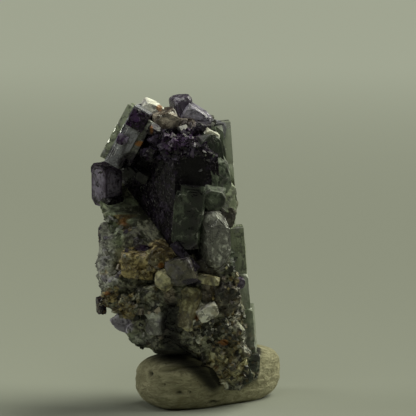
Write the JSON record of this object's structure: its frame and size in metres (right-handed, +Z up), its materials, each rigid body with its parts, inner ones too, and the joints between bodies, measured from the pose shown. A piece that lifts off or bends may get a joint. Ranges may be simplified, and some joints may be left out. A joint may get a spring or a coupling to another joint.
{
  "type": "fluorite crystal cluster",
  "caption": "Purple and green fluorite crystal cluster with a large octahedral crystal in front, its foot pressed into a pad of display putty",
  "frame": {"origin": "on the flat underside of the putty pad, near its middle", "axes": "+Z up, -Y the side that shows best, +X to its right"},
  "size_m": [0.0219, 0.0158, 0.0355],
  "materials": {
    "fluorite": "glassy crystal faces, purple and green, partly clear, with ochre and white grains",
    "putty": "dull beige-grey mineral tack, thumb-rolled"
  },
  "bodies": {
    "root": {"fluorite_cluster": "fluorite", "putty_pad": "putty"}
  },
  "joints": []
}
